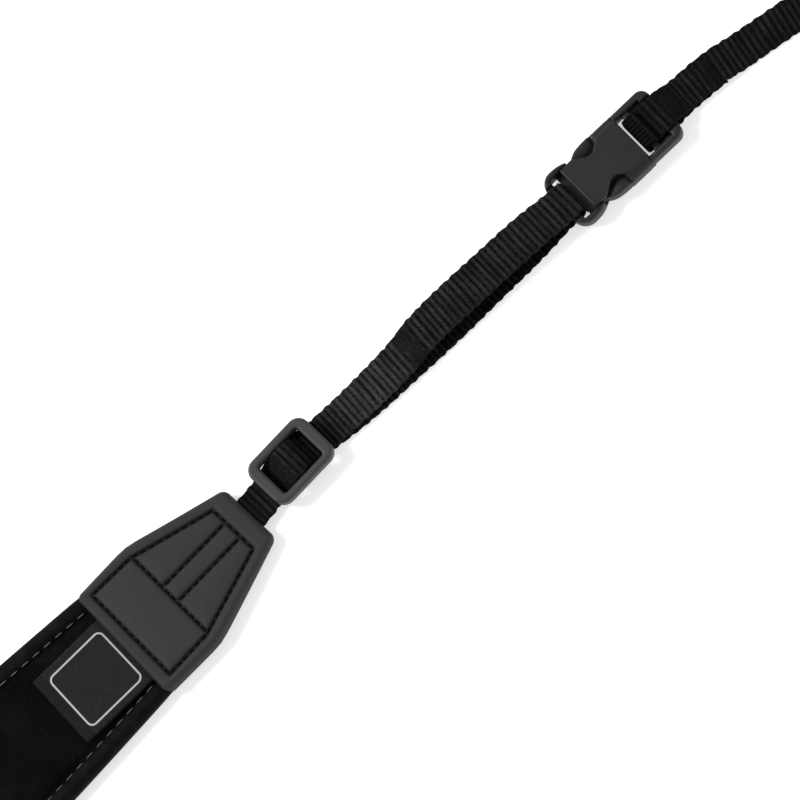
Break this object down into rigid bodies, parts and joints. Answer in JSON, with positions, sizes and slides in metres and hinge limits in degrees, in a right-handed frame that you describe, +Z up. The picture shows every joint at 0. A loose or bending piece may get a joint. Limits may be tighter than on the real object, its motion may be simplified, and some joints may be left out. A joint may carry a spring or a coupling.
{
  "type": "camera neck strap",
  "caption": "Camera neck strap: soft padded band with stitched end tabs, narrow webbing with sliders, side release buckles and camera eyes.",
  "frame": {"origin": "middle of the pad on its underside, which lies on the table", "axes": "+X along the strap towards the end with the label, +Z up from the table; both ends curve gently towards -Y"},
  "size_m": [0.9968, 0.065, 0.0073],
  "materials": {
    "pad": "soft nap over foam rubber",
    "binding": "smooth knitted binding",
    "label": "fine weave with a pale frame",
    "tab": "matt, stitched",
    "webbing": "ribbed weave",
    "slider": "matt, moulded",
    "buckle": "matt, moulded"
  },
  "bodies": {
    "root": {"neck_pad": "pad", "pad_binding_upper": "binding", "pad_binding_lower": "binding", "woven_label": "label", "end_tab_front_right": "tab", "end_tab_front_left": "tab", "end_tab_back_right": "tab", "end_tab_back_left": "tab", "adjuster_webbing_right": "webbing", "adjuster_webbing_left": "webbing", "slider_right": "slider", "slider_left": "slider", "buckle_plug_right": "buckle", "buckle_plug_left": "buckle", "buckle_socket_right": "buckle", "buckle_socket_left": "buckle", "camera_webbing_right": "webbing", "camera_webbing_left": "webbing"}
  },
  "joints": []
}
